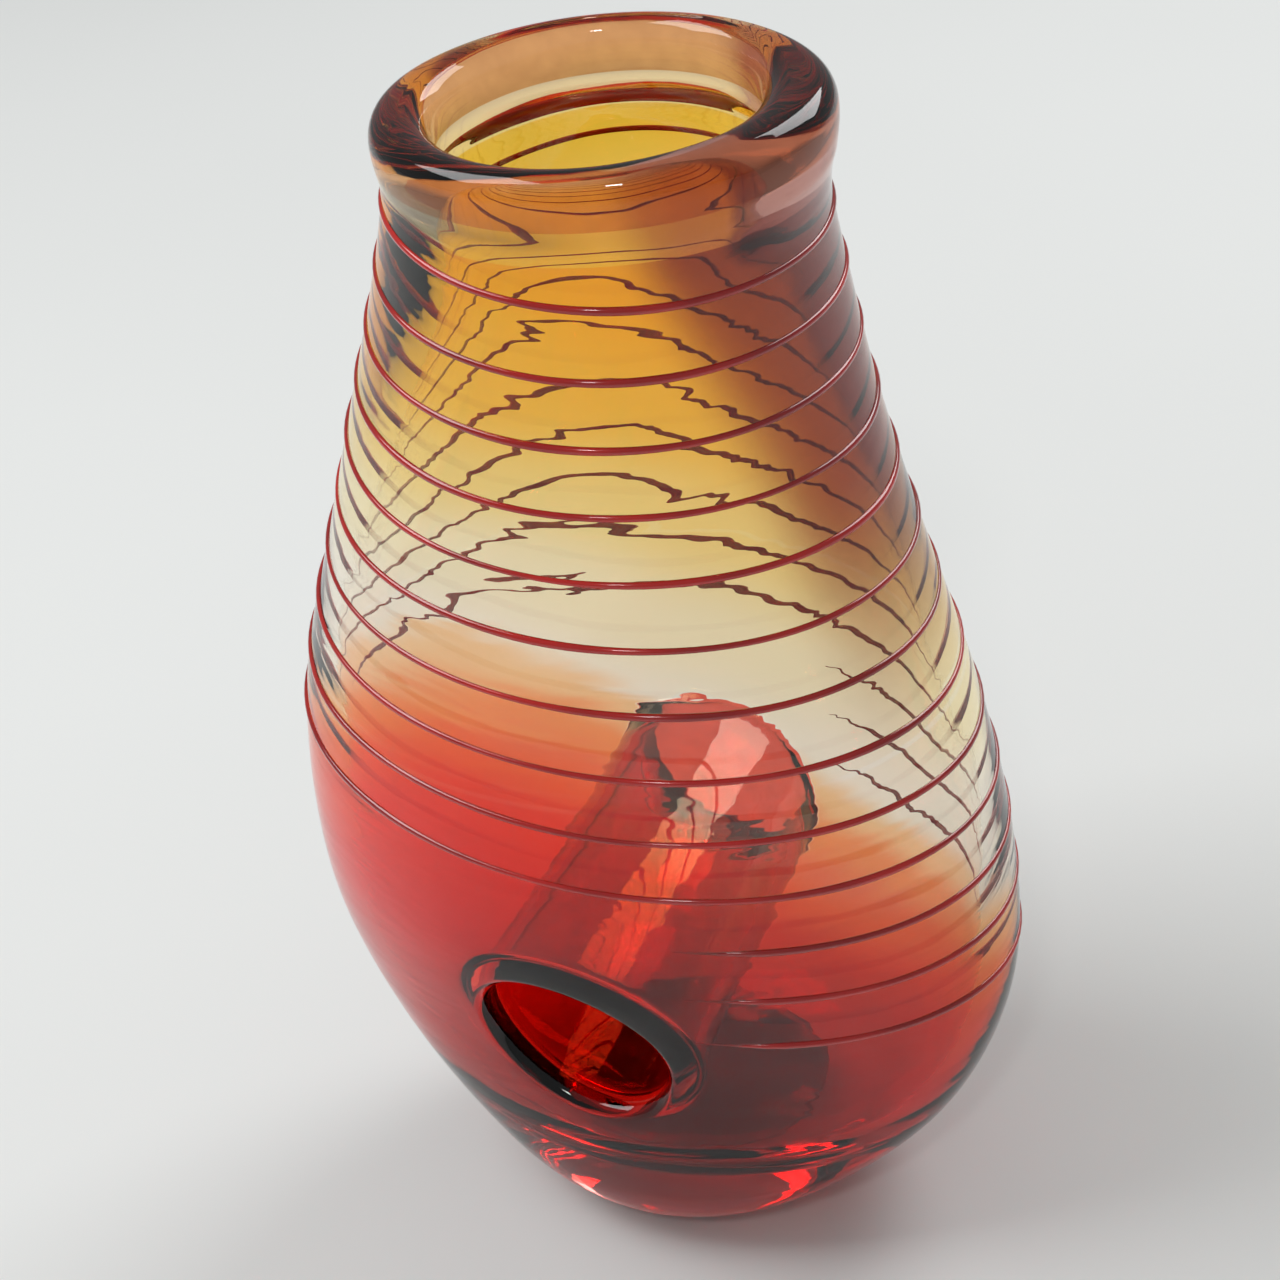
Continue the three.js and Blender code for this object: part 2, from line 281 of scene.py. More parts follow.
def bore_rows(outline_table, mouth, throat, bend_depth, waves):
    """Rows of points from the front mouth to the rear one. In a bend the radius shrinks from mouth to
    throat by one less the sine, while the depth grows by one less the cosine."""
    bend = np.linspace(0, math.pi / 2, bend_steps + 1)[:, None]
    radius_x = throat[0] + (mouth[0] - throat[0]) * (1 - np.sin(bend))
    radius_z = throat[1] + (mouth[1] - throat[1]) * (1 - np.sin(bend))
    depth = bend_depth * (1 - np.cos(bend))
    x = tunnel_x + radius_x * ring_cos + bore_slant * ring_sin
    z = tunnel_z + radius_z * ring_sin + bore_slant * ring_cos
    ends = []
    for facing in (-1, 1):
        end = on_wall(outline_table, angle_of(outline_table, x, z, facing), z, waves)
        end[..., 1] -= facing * depth
        ends.append(end)
    front, rear = ends
    share = np.linspace(0, 1, straight_steps + 2)[1:-1, None, None]
    straight = front[-1] + share * (rear[-1] - front[-1])
    return np.concatenate([front[1:], straight, rear[:0:-1]])


# %% [markdown]
# Points and faces are gathered piece by piece and put in a mesh in one go. The printed volume is signed:
# it is positive only when the surface is closed and every face points outwards, which glass needs more
# than anything else.

# %% Mesh helpers
def quads_between(grid):
    """Faces between the rows of an index grid that closes round on itself."""
    ahead = np.roll(grid, -1, axis=1)
    return np.stack([grid[:-1], ahead[:-1], ahead[1:], grid[1:]], -1)


def fan(centre, ring):
    """Triangles from one point to a closed ring."""
    ahead = np.roll(ring, -1)
    return np.stack([np.full(len(ring), centre), ring, ahead], -1)


def put_in(name, points, quads, triangles=()):
    """Makes the mesh object, smooth shaded, and prints its signed volume."""
    mesh = bpy.data.meshes.new(name)
    faces = [q for part in quads for q in part.reshape(-1, 4).tolist()]
    faces += [t for part in triangles for t in part.reshape(-1, 3).tolist()]
    mesh.from_pydata(points.reshape(-1, 3).tolist(), [], faces)
    mesh.polygons.foreach_set("use_smooth", np.ones(len(mesh.polygons), bool))
    mesh.update()
    piece = bpy.data.objects.new(name, mesh)
    bpy.context.scene.collection.objects.link(piece)
    loops = np.zeros(len(mesh.loop_triangles) * 3, np.int32)
    mesh.loop_triangles.foreach_get("vertices", loops)
    corner = points.reshape(-1, 3)[loops.reshape(-1, 3)]
    volume = np.einsum("ij,ij->i", corner[:, 0], np.cross(corner[:, 1], corner[:, 2])).sum() / 6
    print(name, "triangles", len(corner), "volume ml", round(volume * 1e6, 2))
    return piece


def used_only(points, quads, triangles):
    """Drops the points that no face uses, and renumbers the faces."""
    used = np.unique(np.concatenate([f.ravel() for f in [*quads, *triangles]]))
    number = np.zeros(len(points), int)
    number[used] = np.arange(len(used))
    return points[used], [number[q] for q in quads], [number[t] for t in triangles]


# %% [markdown]
# Now the rows. They are spaced evenly along the outline so that the cells stay nearly square. Outside,
# they start flat under the floor, climb the wall and roll over the outer half of the lip. Inside, they
# start in the rounded floor and roll over the inner half of the lip, where both grids meet.

# %% The rows outside and inside
wall_rows = 118
lip_rows = 12
lip_start = lip_low.z - 6 * mm
lip_middle = (lip_low.z + lip_high.z) / 2
lip_bulge = 1.5 * mm


def even_rows(table, count):
    """Rows at equal steps of length along the right hand side of a table of ovals."""
    travel = np.concatenate([[0], np.cumsum(np.hypot(np.diff(table[:, 0]), np.diff(table[:, 1])))])
    steps = np.linspace(0, travel[-1], count)
    return np.stack([np.interp(steps, travel, table[:, k]) for k in range(5)], 1)


def lip_half(table, sign):
    """Half of the lip: a bulge that grows from the wall, then a quarter turn over to the middle of the
    wall, where half the thickness plus the bulge is multiplied by a power of the cosine."""
    top = table[-1]
    swell = np.linspace(0, 1, lip_rows)[1:]
    height = lip_start + swell * (lip_middle - lip_start)
    offset = sign * lip_bulge * smooth(swell)
    wall = [np.interp(height, table[:, 0], table[:, k]) for k in range(1, 5)]
    lower = np.stack([height, wall[0] + offset, wall[1] + offset, wall[2], wall[3]], 1)
    roll = np.linspace(0, math.pi / 2, lip_rows)[1:]
    height = lip_middle + (vase_top - lip_middle) * np.sin(roll) ** 0.8
    turned = np.cos(roll) ** 0.8
    wider, deeper = (sign * ((t / 2 + lip_bulge) * turned - t / 2) for t in lip_thickness)
    one = np.ones(len(roll))
    upper = np.stack([height, top[1] + wider, top[2] + deeper, top[3] * one, top[4] * one], 1)
    return np.vstack([lower, upper])


def below_lip(table):
    """The part of a table of ovals that lies under the lip."""
    return table[table[:, 0] < lip_start]


outer_wall = even_rows(below_lip(outline), wall_rows)
foot_oval = outline[0]
base_shares = np.array([0.25, 0.5, 0.75, 0.9, 0.97])
base_rows = foot_oval * np.stack(
    [np.ones(5), base_shares, base_shares, np.ones(5), np.ones(5)], 1
)
outer_rows = np.vstack([base_rows, outer_wall, lip_half(outline, 1)])

inner_floor = body_floor + 14 * mm
bowl_height = 26 * mm
bowl_share = np.clip((inner_outline[:, 0] - inner_floor) / bowl_height, 0, 1)
rounded = (1 - (1 - bowl_share) ** 2.4) ** (1 / 2.4)
inner_table = inner_outline.copy()
inner_table[:, 1] *= rounded
inner_table[:, 2] *= rounded
inner_table = inner_table[inner_table[:, 0] > inner_floor + 0.02 * mm]
inner_rows = np.vstack(
    [even_rows(below_lip(inner_table), wall_rows)[1:], lip_half(inner_outline, -1)]
)
inner_rows[-1] = outer_rows[-1]
print("rows outside", len(outer_rows), "inside", len(inner_rows))

# %% [markdown]
# The clear wall itself: outside grid, inside grid, the tunnel's surface and the tunnel's other side in
# the cavity, all welded by sharing the same corner numbers.

# %% The clear wall
outer_waves = (0.35 * mm, 11)
inner_waves = (0.75 * mm, 23)
trumpet = 3.3 * mm
trumpet_depth = 4.5 * mm
lining = 4.5 * mm
cavity_lining = 5.2 * mm  # the tunnel's wall where it meets the body's wall
throat = (bore_half_width, bore_half_height)
mouth = (throat[0] + trumpet, throat[1] + trumpet)
cavity_mouth = (mouth[0] + cavity_lining, mouth[1] + cavity_lining)
cavity_throat = (throat[0] + lining, throat[1] + lining)

outer_points, outer_stays, outer_rings = pierced_grid(outer_rows, outline, mouth, 1.9, outer_waves)
inner_points, inner_stays, inner_rings = pierced_grid(
    inner_rows, inner_table, cavity_mouth, 1.75, inner_waves
)
tunnel_rows = bore_rows(outline, mouth, throat, trumpet_depth, outer_waves)
cavity_rows = bore_rows(inner_table, cavity_mouth, cavity_throat, trumpet_depth, inner_waves)


def build_wall():
    """Numbers all corners: the outside grid, the inside grid whose last row is the outside's last, both
    bores whose end rings are the mouths' rings, and the middles of the two floors."""
    outside = np.arange(outer_points[..., 0].size).reshape(outer_points.shape[:2])
    start = outside.size
    inside = start + np.arange(inner_points[..., 0].size).reshape(inner_points.shape[:2])
    start += inside.size
    inside[-1] = outside[-1]
    flat_rings = [outside.ravel()[r] for r in outer_rings] + [inside.ravel()[r] for r in inner_rings]
    tunnel = start + np.arange(tunnel_rows[..., 0].size - len(ring_cos)).reshape(-1, len(ring_cos))
    start += tunnel.size
    cavity = start + np.arange(cavity_rows[..., 0].size - len(ring_cos)).reshape(-1, len(ring_cos))
    start += cavity.size
    tunnel = np.vstack([flat_rings[0], tunnel, flat_rings[1]])
    cavity = np.vstack([flat_rings[2], cavity, flat_rings[3]])
    floor_middle = [[foot_oval[3], foot_oval[4], foot_oval[0]]]
    bowl = inner_rows[0]
    bowl_middle = [[bowl[3], bowl[4], inner_floor]]
    points = np.concatenate(
        [
            outer_points.reshape(-1, 3),
            inner_points.reshape(-1, 3),
            tunnel_rows[:-1].reshape(-1, 3),
            cavity_rows[:-1].reshape(-1, 3),
            floor_middle,
            bowl_middle,
        ]
    )
    quads = [
        quads_between(outside)[outer_stays],
        quads_between(inside)[inner_stays][:, ::-1],
        quads_between(tunnel),
        quads_between(cavity)[..., ::-1],
    ]
    triangles = [fan(start, outside[0])[:, ::-1], fan(start + 1, inside[0])]
    return used_only(points, quads, triangles)


wall_glass = put_in("wall_glass", *build_wall())
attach(wall_glass, "root")
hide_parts("clear_casing", "inner_gather")

# %% [markdown]
# The colours are overlays: glass of another colour, picked up on the first bubble and sealed under the
# last clear gather. Each becomes a thin closed body between two offsets of the outline, thickest where
# the maker laid it on and thinned to an edge where it was stretched out.

# %% Overlay surfaces
casing_depth = 3.4 * mm
overlay_thickness = 1.7 * mm
edge_length = 34 * mm


def overlay_tables(thickness_at):
    """Two tables of ovals for an overlay: at the casing's depth, and deeper by the thickness, which is a
    function of height."""
    depth = casing_depth + thickness_at(outline[:, 0])
    flat = np.full(len(outline), casing_depth)
    return offset_outline(flat, flat), offset_outline(depth, depth)


def between(table, low, high):
    """The ovals of a table from one height to another."""
    return table[(table[:, 0] >= low) & (table[:, 0] <= high)]


def bowled(table, floor, height):
    """Rounds the lower end of a table of ovals into a bowl: the half width and depth are multiplied by a
    superellipse of the share of the bowl's height."""
    share = np.clip((table[:, 0] - floor) / height, 0, 1)
    rounded = (1 - (1 - share) ** 2.4) ** (1 / 2.4)
    shaped = table.copy()
    shaped[:, 1] *= rounded
    shaped[:, 2] *= rounded
    return shaped[shaped[:, 0] > floor + 0.02 * mm]


# %% [markdown]
# Amber sits from the lip down to the shoulder. It is a sleeve, so its section is a closed loop: up the
# outside, down the inside, with both ends drawn to an edge.

# %% The amber overlay
amber_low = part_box("amber_overlay")[0].z - 12 * mm
amber_high = lip_start


def amber_thickness(height):
    """Grows from an edge at the shoulder to the full thickness at the neck."""
    return overlay_thickness * (0.15 + 0.85 * smooth((height - amber_low) / (2 * edge_length)))


amber_outer, amber_inner = overlay_tables(amber_thickness)
amber_up = even_rows(between(amber_outer, amber_low, amber_high), 48)
amber_down = even_rows(between(amber_inner, amber_low, amber_high), 48)[::-1]
amber_middle = (amber_up[[0, -1]] + amber_down[[-1, 0]]) / 2
amber_loop = np.vstack([amber_middle[:1], amber_up[1:-1], amber_middle[1:], amber_down[1:-1]])
amber_points = pierced_grid(amber_loop, None, None, 1, outer_waves)[0]
amber_index = np.arange(amber_points[..., 0].size).reshape(amber_points.shape[:2])
amber_index = np.vstack([amber_index, amber_index[:1]])
amber_glass = put_in("amber_overlay_glass", amber_points, [quads_between(amber_index)])
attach(amber_glass, "root")
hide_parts("amber_overlay")

# %% [markdown]
# Ruby is a cup round the lower body. It goes round the tunnel, so its two grids are pierced like the
# wall's, a little inside the tunnel's wall, and the rims of the holes are joined.

# %% The ruby overlay
ruby_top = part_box("ruby_overlay")[1].z + 26 * mm


def ruby_thickness(height):
    """Full at the bottom, thinning to an edge at the top."""
    return overlay_thickness * (0.15 + 0.85 * smooth((ruby_top - height) / (2 * edge_length)))


ruby_outer, ruby_inner = overlay_tables(ruby_thickness)
ruby_outer = bowled(between(ruby_outer, 0, ruby_top), body_floor + casing_depth, 20 * mm)
ruby_inner = bowled(between(ruby_inner, 0, ruby_top), body_floor + casing_depth + 2 * mm, 22 * mm)
ruby_rows_out = even_rows(ruby_outer, 72)[1:]
ruby_rows_in = even_rows(ruby_inner, 72)[1:]
ruby_rows_in[-1] = ruby_rows_out[-1] = (ruby_rows_in[-1] + ruby_rows_out[-1]) / 2
ruby_hole = (throat[0] + 3.7 * mm, throat[1] + 3.7 * mm)
ruby_out, ruby_out_stays, ruby_out_rings = pierced_grid(
    ruby_rows_out, ruby_outer, ruby_hole, 1.75, outer_waves
)
ruby_in, ruby_in_stays, ruby_in_rings = pierced_grid(
    ruby_rows_in, ruby_inner, ruby_hole, 1.75, outer_waves
)


def build_ruby():
    """Both grids share their last row, the rims of the holes are joined, and the floors are closed."""
    outside = np.arange(ruby_out[..., 0].size).reshape(ruby_out.shape[:2])
    inside = outside.size + np.arange(ruby_in[..., 0].size).reshape(ruby_in.shape[:2])
    inside[-1] = outside[-1]
    start = outside.size + ruby_in[..., 0].size
    front = np.stack([outside.ravel()[ruby_out_rings[0]], inside.ravel()[ruby_in_rings[0]]])
    rear = np.stack([inside.ravel()[ruby_in_rings[1]], outside.ravel()[ruby_out_rings[1]]])
    middles = [[r[3], r[4], r[0]] for r in (ruby_rows_out[0], ruby_rows_in[0])]
    points = np.concatenate([ruby_out.reshape(-1, 3), ruby_in.reshape(-1, 3), middles])
    quads = [
        quads_between(outside)[ruby_out_stays],
        quads_between(inside)[ruby_in_stays][:, ::-1],
        quads_between(front),
        quads_between(rear),
    ]
    triangles = [fan(start, outside[0])[:, ::-1], fan(start + 1, inside[0])]
    return used_only(points, quads, triangles)


ruby_glass = put_in("ruby_overlay_glass", *build_ruby())
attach(ruby_glass, "root")
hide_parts("ruby_overlay")

# %% [markdown]
# The tunnel's own colour is a tube inside the tunnel's wall. Its ends stop short of the front and rear
# of the vase by the same depth all round, so they follow the curve of the body.

# %% The tunnel's colour
def tube_loop():
    """A closed loop of rings: along the outside of the tube from front to rear, and back on the inside.
    The distance along is a share between the front wall and the rear wall."""
    turn = np.linspace(0, 2 * math.pi, 96, endpoint=False)
    rings = []
    for radius, shares in ((3.0 * mm, np.linspace(0, 1, 24)), (1.3 * mm, np.linspace(1, 0, 24))):
        x = tunnel_x + (throat[0] + radius) * np.cos(turn) + bore_slant * np.sin(turn)
        z = tunnel_z + (throat[1] + radius) * np.sin(turn) + bore_slant * np.cos(turn)
        front = on_wall(outline, angle_of(outline, x, z, -1), z, outer_waves)
        rear = on_wall(outline, angle_of(outline, x, z, 1), z, outer_waves)
        front[:, 1] += 5 * mm
        rear[:, 1] -= 5 * mm
        rings.append(front + shares[:, None, None] * (rear - front))
    return np.concatenate(rings)


tube_points = tube_loop()
tube_index = np.arange(tube_points[..., 0].size).reshape(tube_points.shape[:2])
tube_index = np.vstack([tube_index, tube_index[:1]])
tunnel_glass = put_in("tunnel_lining_glass", tube_points, [quads_between(tube_index)[..., ::-1]])
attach(tunnel_glass, "root")
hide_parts("tunnel_lining")

# %% [markdown]
# The lip is a bead of mauve brown glass, wound on and melted in. Its colour is a ring inside the
# rounded rim of the clear wall.

# %% The lip's colour
def lip_ring():
    """A ring whose section is an oval in the middle of the lip."""
    section = np.linspace(0, 2 * math.pi, 20, endpoint=False)[:, None]
    turn = np.linspace(-math.pi, math.pi, around, endpoint=False)[None, :]
    height, half_width, half_depth, shift, lean = outline[-1]
    thick = lip_thickness[1] + (lip_thickness[0] - lip_thickness[1]) * np.cos(turn) ** 2
    out = thick * (0.44 * np.cos(section) - 0.5)
    x = shift + (half_width + out) * np.cos(turn)
    y = lean + (half_depth + out) * np.sin(turn)
    z = lip_middle + 4.8 * mm * np.sin(section) + 0 * turn
    return np.stack([x, y, z], -1)


lip_points = lip_ring()
lip_index = np.arange(lip_points[..., 0].size).reshape(lip_points.shape[:2])
lip_index = np.vstack([lip_index, lip_index[:1]])
lip_glass = put_in("mouth_lip_glass", lip_points, [quads_between(lip_index)])
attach(lip_glass, "root")
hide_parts("mouth_lip")

# %% [markdown]
# The foot pad was ground flat on a wheel, so it has a level face, a softened edge and a satin skin. It
# is a short oval disc: a list of shrinks and heights, turned round the foot's middle.

# %% The foot pad
def foot_pad_rows():
    """Ovals of the pad: half width and half depth less a shrink, at a height."""
    soften = np.linspace(0, math.pi / 2, 6)
    edge = 1.5 * mm
    shrink = np.concatenate([[12 * mm], edge * (1 - np.sin(soften)), [0, 0.1 * mm, 0.4 * mm, 12 * mm]])
    below_top = mm * np.array([0.4, 0.1, 0, 0])
    height = np.concatenate([[0], edge * (1 - np.cos(soften)), pad_high.z - below_top])
    half_x = (pad_high.x - pad_low.x) / 2 - shrink
    half_y = (pad_high.y - pad_low.y) / 2 - shrink
    return np.stack([height, half_x, half_y, 0 * height, 0 * height], 1)


pad_points = pierced_grid(foot_pad_rows(), None, None, 1, (0, 1))[0]
pad_index = np.arange(pad_points[..., 0].size).reshape(pad_points.shape[:2])
pad_all = np.concatenate([pad_points.reshape(-1, 3), [[0, 0, 0], [0, 0, pad_high.z]]])
foot_glass = put_in(
    "foot_pad_glass",
    pad_all,
    [quads_between(pad_index)],
    [fan(pad_index.size, pad_index[0])[:, ::-1], fan(pad_index.size + 1, pad_index[-1])],
)
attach(foot_glass, "root")
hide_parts("foot_pad")

# %% [markdown]
# The thread is a trail of dark red glass, pulled thin and wound on while the vase turned. It lies in the
# surface in low relief. Its path goes down by one pitch in each turn, and is tilted, because the vase
# was held at a slant. A flattened oval section is carried along that path.

# %% The thread
front_angle = -math.pi / 2
full_turn = 2 * math.pi
thread_drop = 22.8 * mm
thread_pitch = 14.9 * mm
thread_side_tilt = -0.077
thread_back_tilt = 0.048
thread_half_width = 0.8 * mm
thread_half_height = 0.75 * mm
thread_sink = 0.15 * mm


def thread_height(angle):
    """The level height falls by the pitch for each full turn. The tilts add a share of how far the point
    lies towards +X and towards +Y."""
    level = vase_top - thread_drop - thread_pitch * (angle - front_angle) / full_turn
    half_width, half_depth = (np.interp(level, outline[:, 0], outline[:, k]) for k in (1, 2))
    towards_side = thread_side_tilt * half_width * np.cos(angle)
    return level + towards_side + thread_back_tilt * half_depth * np.sin(angle)


def thread_along(name, start, end, taper):
    """A flattened tube. Each ring is the path's point plus the wall's normal times the half height and
    the cosine, plus the sideways direction times the half width and the sine. It thins over the taper."""
    steps = max(int((end - start) / full_turn * 110), 12)
    angle = np.linspace(start, end, steps)
    height = np.minimum(thread_height(angle), lip_start + 1.5 * mm)
    path = on_wall(outline, angle, height, outer_waves)
    up = on_wall(outline, angle, height + 0.3 * mm, outer_waves)
    down = on_wall(outline, angle, height - 0.3 * mm, outer_waves)
    ahead = on_wall(outline, angle + 0.01, height, outer_waves)
    behind = on_wall(outline, angle - 0.01, height, outer_waves)
    normal = np.cross(ahead - behind, up - down)
    normal /= np.linalg.norm(normal, axis=1)[:, None]
    way = np.gradient(path, axis=0)
    way /= np.linalg.norm(way, axis=1)[:, None]
    aside = np.cross(way, normal)
    travel = np.concatenate([[0], np.cumsum(np.linalg.norm(np.diff(path, axis=0), axis=1))])
    from_end = np.minimum(travel, travel[-1] - travel)
    full = smooth(from_end / taper)[:, None]
    swell = 1 + 0.12 * np.sin(travel / 0.023)[:, None] + 0.08 * np.sin(travel / 0.0091)[:, None]
    section = np.linspace(0, full_turn, 14, endpoint=False)
    out = (np.cos(section) * thread_half_height)[None, :] * full * swell
    side = (np.sin(section) * thread_half_width)[None, :] * (0.15 + 0.85 * full) * swell
    seat = path - normal * (thread_sink + (1 - full) * 0.3 * mm)
    rings = seat[:, None] + out[..., None] * normal[:, None] + side[..., None] * aside[:, None]
    index = np.arange(rings[..., 0].size).reshape(rings.shape[:2])
    points = np.concatenate([rings.reshape(-1, 3), seat[[0, -1]]])
    triangles = [fan(index.size, index[0])[:, ::-1], fan(index.size + 1, index[-1])]
    return put_in(name, points, [quads_between(index)], triangles)


tunnel_clear = 9.8 * mm
tunnel_top = tunnel_z + bore_half_height + tunnel_clear
turns_above = math.floor((vase_top - thread_drop - tunnel_top) / thread_pitch)
last_angle = front_angle + full_turn * (turns_above - 0.25)
start_angle = front_angle - 0.6 * full_turn
threads = [thread_along("spiral_thread_glass", start_angle, last_angle, 16 * mm)]
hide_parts("spiral_thread")
widest = outline[np.argmin(abs(outline[:, 0] - tunnel_z))]
edge_angle = math.acos((tunnel_x + bore_half_width + tunnel_clear - widest[3]) / widest[1])
for trail in range(3):
    middle = full_turn * (turns_above + trail)
    piece = thread_along(
        f"thread_end_glass_{trail + 1}", middle - edge_angle, middle + edge_angle, 22 * mm
    )
    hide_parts(f"thread_end_{trail + 1}")
    threads.append(piece)
for piece in threads:
    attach(piece, "root")

# %% [markdown]
# The colour of the wall changes with height, and the change is never level: the maker turned and tipped
# the hot glass. One node group reads the place on the object, bends it with a slow noise, and runs it
# through a colour ramp. It also paints shade into the colour: a dark strip along the +X edge of the
# neck and shoulder, away from the key lamp. It is built once, and the wall and the overlays share it.

# %% The blown colour group, with its painted shade strip
def node(tree, kind, **inputs):
    """Adds a node and sets its inputs by name."""
    made = tree.nodes.new(kind)
    for name, value in inputs.items():
        made.inputs[name.replace("_", " ")].default_value = value
    return made


def math_node(tree, operation, first, second=None, clamp=False):
    """Adds a Math node whose inputs are sockets or plain numbers."""
    made = tree.nodes.new("ShaderNodeMath")
    made.operation = operation
    made.use_clamp = clamp
    for place, value in enumerate((first, second)):
        if value is None:
            continue
        if isinstance(value, (int, float)):
            made.inputs[place].default_value = value
        else:
            tree.links.new(value, made.inputs[place])
    return made.outputs[0]


def group(name, inputs, outputs):
    """An empty shader node group with named sockets."""
    tree = bpy.data.node_groups.new(name, "ShaderNodeTree")
    for title, kind, value in inputs:
        socket = tree.interface.new_socket(title, in_out="INPUT", socket_type=kind)
        if value is not None:
            socket.default_value = value
    for title, kind in outputs:
        tree.interface.new_socket(title, in_out="OUTPUT", socket_type=kind)
    return tree, tree.nodes.new("NodeGroupInput"), tree.nodes.new("NodeGroupOutput")


# height in mm, colour that one wall gives to the light
wall_colours = [
    (0, (0.62, 0.04, 0.03)),
    (26, (0.76, 0.05, 0.035)),
    (56, (0.90, 0.07, 0.06)),
    (80, (0.97, 0.15, 0.05)),
    (97, (0.99, 0.29, 0.08)),
    (112, (1.0, 0.62, 0.32)),
    (124, (1.0, 0.93, 0.83)),
    (150, (1.0, 0.94, 0.84)),
    (175, (1.0, 0.90, 0.64)),
    (205, (0.99, 0.78, 0.34)),
    (240, (0.99, 0.64, 0.11)),
    (268, (1.0, 0.60, 0.05)),
    (280, (0.95, 0.55, 0.20)),
    (290, (0.90, 0.50, 0.24)),
]


def blown_colour_group():
    """Height, plus a tilt with x and y, plus a slow noise, read on a ramp; then painted shade: a dark strip
    on the +X side of the neck, away from the key lamp."""
    tree, entry, leave = group(
        "Blown colour and painted shade", [("Vector", "NodeSocketVector", None)], [("Colour", "NodeSocketColor")]
    )
    split = tree.nodes.new("ShaderNodeSeparateXYZ")
    tree.links.new(entry.outputs["Vector"], split.inputs[0])
    noise = node(tree, "ShaderNodeTexNoise", Scale=9.0, Detail=2.0, Roughness=0.45)
    tree.links.new(entry.outputs["Vector"], noise.inputs["Vector"])
    drift = math_node(tree, "MULTIPLY", math_node(tree, "SUBTRACT", noise.outputs[0], 0.5), 0.05)
    # the lip and the neck keep level bands; the lower body's colours climb towards -X and the front
    low = node(tree, "ShaderNodeMapRange")
    low.interpolation_type = "SMOOTHSTEP"
    low.inputs["From Min"].default_value = 0.255
    low.inputs["From Max"].default_value = 0.2
    tree.links.new(split.outputs["Z"], low.inputs["Value"])
    tilt = math_node(tree, "MULTIPLY", split.outputs["X"], 0.34)
    tilt = math_node(tree, "ADD", tilt, math_node(tree, "MULTIPLY", split.outputs["Y"], 0.6))
    moved = math_node(tree, "MULTIPLY", math_node(tree, "ADD", drift, tilt), low.outputs[0])
    height = math_node(tree, "ADD", split.outputs["Z"], moved)
    share = math_node(tree, "DIVIDE", height, vase_top, clamp=True)
    ramp = tree.nodes.new("ShaderNodeValToRGB")
    ramp.color_ramp.interpolation = "EASE"
    stops = ramp.color_ramp.elements
    while len(stops) < len(wall_colours):
        stops.new(0.5)
    for stop, (level, colour) in zip(stops, wall_colours):
        stop.position = level * mm / vase_top
        stop.color = (*colour, 1)
    tree.links.new(share, ramp.inputs[0])
    # the painted shade strip: far towards +X for the height, and above the shoulder
    edge = math_node(tree, "ADD", split.outputs["X"], math_node(tree, "MULTIPLY", split.outputs["Z"], 0.25))
    edge = math_node(tree, "ADD", edge, math_node(tree, "MULTIPLY", drift, 0.3))
    shade_strip = node(tree, "ShaderNodeMapRange")
    shade_strip.interpolation_type = "SMOOTHSTEP"
    shade_strip.inputs["From Min"].default_value = 0.094
    shade_strip.inputs["From Max"].default_value = 0.106
    tree.links.new(edge, shade_strip.inputs["Value"])
    high = node(tree, "ShaderNodeMapRange")
    high.interpolation_type = "SMOOTHSTEP"
    high.inputs["From Min"].default_value = 0.14
    high.inputs["From Max"].default_value = 0.21
    tree.links.new(split.outputs["Z"], high.inputs["Value"])
    mix = tree.nodes.new("ShaderNodeMix")
    mix.data_type = "RGBA"
    tree.links.new(math_node(tree, "MULTIPLY", shade_strip.outputs[0], high.outputs[0]), mix.inputs["Factor"])
    tree.links.new(ramp.outputs[0], mix.inputs["A"])
    # painted shade: the dark red brown of the strip on the +X edge of the neck, away from the key lamp
    mix.inputs["B"].default_value = (0.30, 0.06, 0.04, 1)
    tree.links.new(mix.outputs["Result"], leave.inputs["Colour"])
    return tree


blown_and_shade_colour = blown_colour_group()

# %% [markdown]
# Blown glass is fire polished, but not perfect: fine cords of slightly different glass run round it and
# catch the light. The bump comes from a noise that is stretched round the vase. Every glass shares it.

# %% The hot worked skin group
def hot_skin_group():
    """A height for a bump: stretched noise for the cords, and a finer noise for the skin."""
    tree, entry, leave = group(
        "Hot worked skin",
        [("Vector", "NodeSocketVector", None), ("Cords", "NodeSocketFloat", 1.0)],
        [("Height", "NodeSocketFloat"), ("Mark", "NodeSocketFloat")],
    )
    stretch = tree.nodes.new("ShaderNodeMapping")
    stretch.inputs["Scale"].default_value = (1.0, 1.0, 3.4)
    tree.links.new(entry.outputs["Vector"], stretch.inputs["Vector"])
    cords = node(tree, "ShaderNodeTexNoise", Scale=26.0, Detail=2.0, Distortion=0.6)
    tree.links.new(stretch.outputs[0], cords.inputs["Vector"])
    fine = node(tree, "ShaderNodeTexNoise", Scale=210.0, Detail=2.0)
    tree.links.new(entry.outputs["Vector"], fine.inputs["Vector"])
    wavy = math_node(tree, "MULTIPLY", cords.outputs[0], entry.outputs["Cords"])
    total = math_node(tree, "ADD", wavy, math_node(tree, "MULTIPLY", fine.outputs[0], 0.03))
    tree.links.new(total, leave.inputs["Height"])
    tree.links.new(fine.outputs[0], leave.inputs["Mark"])
    return tree


hot_skin = hot_skin_group()


